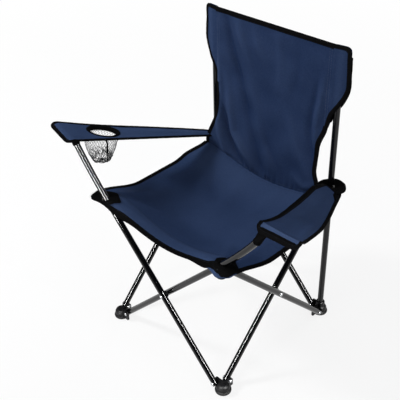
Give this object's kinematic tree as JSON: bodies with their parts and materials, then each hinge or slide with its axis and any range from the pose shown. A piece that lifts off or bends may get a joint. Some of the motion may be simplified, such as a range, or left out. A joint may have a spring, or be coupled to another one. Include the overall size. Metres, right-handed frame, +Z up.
{
  "type": "folding camp chair",
  "caption": "Folding camp chair with a tube scissor frame, sling seat and back, fabric arms and a net cup holder in one arm.",
  "frame": {"origin": "on the ground, under the middle of the square that the four corner joints make, which is within 5 mm of the middle of the whole chair", "axes": "+Z up, the chair faces -Y, +X is to the right of someone who looks at its front"},
  "size_m": [0.767, 0.46, 0.805],
  "materials": {
    "tube_enamel": "glossy black powder coat",
    "black_plastic": "moulded, slightly worn",
    "rivet_metal": "satin",
    "navy_fabric": "coated polyester, plain weave",
    "black_binding": "woven tape",
    "net": "open knitted net"
  },
  "bodies": {
    "rear_right_foot": {"foot_rear_right": "black_plastic", "rear_post_right": "tube_enamel", "post_cap_right": "black_plastic", "foot_rivets_rear_right": "rivet_metal", "back_panel": "navy_fabric", "sleeve_right": "navy_fabric"},
    "right_outer": {"right_leg_outer": "tube_enamel", "right_cross_rivet": "rivet_metal", "right_spacer": "black_plastic"},
    "right_inner": {"right_leg_inner": "tube_enamel"},
    "front_right_foot": {"foot_front_right": "black_plastic", "foot_rivets_front_right": "rivet_metal"},
    "front_right_hub": {"hub_front_right": "black_plastic", "hub_rivets_front_right": "rivet_metal"},
    "rear_right_hub": {"hub_rear_right": "black_plastic", "hub_rivets_rear_right": "rivet_metal", "arm_right": "navy_fabric", "arm_pocket_right": "black_binding", "arm_end_right": "black_binding"},
    "rear_inner": {"rear_leg_inner": "tube_enamel"},
    "rear_outer": {"rear_leg_outer": "tube_enamel", "rear_cross_rivet": "rivet_metal", "rear_spacer": "black_plastic"},
    "rear_left_foot": {"foot_rear_left": "black_plastic", "rear_post_left": "tube_enamel", "post_cap_left": "black_plastic", "foot_rivets_rear_left": "rivet_metal", "sleeve_left": "navy_fabric"},
    "rear_left_hub": {"hub_rear_left": "black_plastic", "hub_rivets_rear_left": "rivet_metal", "arm_left": "navy_fabric", "arm_pocket_left": "black_binding", "cup_ring": "black_binding", "cup_net": "net", "arm_end_left": "black_binding"},
    "front_outer": {"front_leg_outer": "tube_enamel", "arm_cap_left": "black_plastic", "front_cross_rivet": "rivet_metal", "front_spacer": "black_plastic"},
    "front_left_hub": {"hub_front_left": "black_plastic", "hub_rivets_front_left": "rivet_metal"},
    "front_inner": {"front_leg_inner": "tube_enamel", "arm_cap_right": "black_plastic"},
    "front_left_foot": {"foot_front_left": "black_plastic", "foot_rivets_front_left": "rivet_metal"},
    "left_inner": {"left_leg_inner": "tube_enamel"},
    "left_outer": {"left_leg_outer": "tube_enamel", "left_cross_rivet": "rivet_metal", "left_spacer": "black_plastic"},
    "front_seat": {"seat_front": "navy_fabric", "corner_patch_right": "black_binding", "corner_patch_left": "black_binding"},
    "rear_seat": {"seat_rear": "navy_fabric"}
  },
  "joints": [
    {"name": "fold", "type": "hinge", "parent": "rear_right_foot", "child": "right_outer", "pos_m": [0.207, 0.176, 0.02], "axis": [-1, 0, 0], "range_deg": [0, 37], "deforming": ["seat_front", "seat_rear", "corner_patch_right", "corner_patch_left", "back_panel", "arm_right", "arm_left", "arm_pocket_right", "arm_pocket_left", "cup_ring", "cup_net"]},
    {"name": "rear_inner_foot_pivot", "type": "hinge", "parent": "rear_right_foot", "child": "rear_inner", "pos_m": [0.176, 0.189, 0.02], "axis": [0, 1, 0], "range_deg": [0, 37]},
    {"name": "right_crossing", "type": "hinge", "parent": "right_outer", "child": "right_inner", "pos_m": [0.198, 0, 0.207], "axis": [1, 0, 0], "range_deg": [0, 74]},
    {"name": "front_right_foot_pivot", "type": "hinge", "parent": "right_inner", "child": "front_right_foot", "pos_m": [0.189, -0.176, 0.02], "axis": [-1, 0, 0], "range_deg": [0, 37]},
    {"name": "front_right_hub_pivot", "type": "hinge", "parent": "right_outer", "child": "front_right_hub", "pos_m": [0.207, -0.176, 0.394], "axis": [1, 0, 0], "range_deg": [0, 37]},
    {"name": "rear_right_hub_pivot", "type": "hinge", "parent": "right_inner", "child": "rear_right_hub", "pos_m": [0.189, 0.176, 0.394], "axis": [-1, 0, 0], "range_deg": [0, 37]},
    {"name": "rear_crossing", "type": "hinge", "parent": "rear_inner", "child": "rear_outer", "pos_m": [0, 0.198, 0.207], "axis": [0, -1, 0], "range_deg": [0, 74]},
    {"name": "rear_left_foot_pivot", "type": "hinge", "parent": "rear_outer", "child": "rear_left_foot", "pos_m": [-0.176, 0.207, 0.02], "axis": [0, 1, 0], "range_deg": [0, 37]},
    {"name": "rear_left_hub_pivot", "type": "hinge", "parent": "rear_inner", "child": "rear_left_hub", "pos_m": [-0.176, 0.189, 0.394], "axis": [0, -1, 0], "range_deg": [0, 37]},
    {"name": "front_outer_foot_pivot", "type": "hinge", "parent": "front_right_foot", "child": "front_outer", "pos_m": [0.176, -0.207, 0.02], "axis": [0, 1, 0], "range_deg": [0, 37]},
    {"name": "front_left_hub_pivot", "type": "hinge", "parent": "front_outer", "child": "front_left_hub", "pos_m": [-0.176, -0.207, 0.394], "axis": [0, -1, 0], "range_deg": [0, 37]},
    {"name": "front_crossing", "type": "hinge", "parent": "front_outer", "child": "front_inner", "pos_m": [0, -0.198, 0.207], "axis": [0, -1, 0], "range_deg": [0, 74]},
    {"name": "front_left_foot_pivot", "type": "hinge", "parent": "front_inner", "child": "front_left_foot", "pos_m": [-0.176, -0.189, 0.02], "axis": [0, 1, 0], "range_deg": [0, 37]},
    {"name": "left_inner_foot_pivot", "type": "hinge", "parent": "rear_left_foot", "child": "left_inner", "pos_m": [-0.189, 0.176, 0.02], "axis": [-1, 0, 0], "range_deg": [0, 37]},
    {"name": "left_crossing", "type": "hinge", "parent": "left_inner", "child": "left_outer", "pos_m": [-0.198, 0, 0.207], "axis": [1, 0, 0], "range_deg": [0, 74]},
    {"name": "front_seat_fold", "type": "hinge", "parent": "front_right_hub", "child": "front_seat", "pos_m": [0.198, -0.2, 0.412], "axis": [-1, 0, 0], "range_deg": [0, 62.01]},
    {"name": "rear_seat_fold", "type": "hinge", "parent": "rear_right_hub", "child": "rear_seat", "pos_m": [0.198, 0.178, 0.404], "axis": [1, 0, 0], "range_deg": [0, 62.01]}
  ],
  "couplings": [
    {"joint": "rear_inner_foot_pivot", "follows": "fold", "ratio": 1},
    {"joint": "right_crossing", "follows": "fold", "ratio": 2},
    {"joint": "front_right_foot_pivot", "follows": "fold", "ratio": 1},
    {"joint": "front_right_hub_pivot", "follows": "fold", "ratio": 1},
    {"joint": "rear_right_hub_pivot", "follows": "fold", "ratio": 1},
    {"joint": "rear_crossing", "follows": "fold", "ratio": 2},
    {"joint": "rear_left_foot_pivot", "follows": "fold", "ratio": 1},
    {"joint": "rear_left_hub_pivot", "follows": "fold", "ratio": 1},
    {"joint": "front_outer_foot_pivot", "follows": "fold", "ratio": 1},
    {"joint": "front_left_hub_pivot", "follows": "fold", "ratio": 1},
    {"joint": "front_crossing", "follows": "fold", "ratio": 2},
    {"joint": "front_left_foot_pivot", "follows": "fold", "ratio": 1},
    {"joint": "left_inner_foot_pivot", "follows": "fold", "ratio": 1},
    {"joint": "left_crossing", "follows": "fold", "ratio": 2},
    {"joint": "front_seat_fold", "follows": "fold", "ratio": 1.676},
    {"joint": "rear_seat_fold", "follows": "fold", "ratio": 1.676}
  ]
}
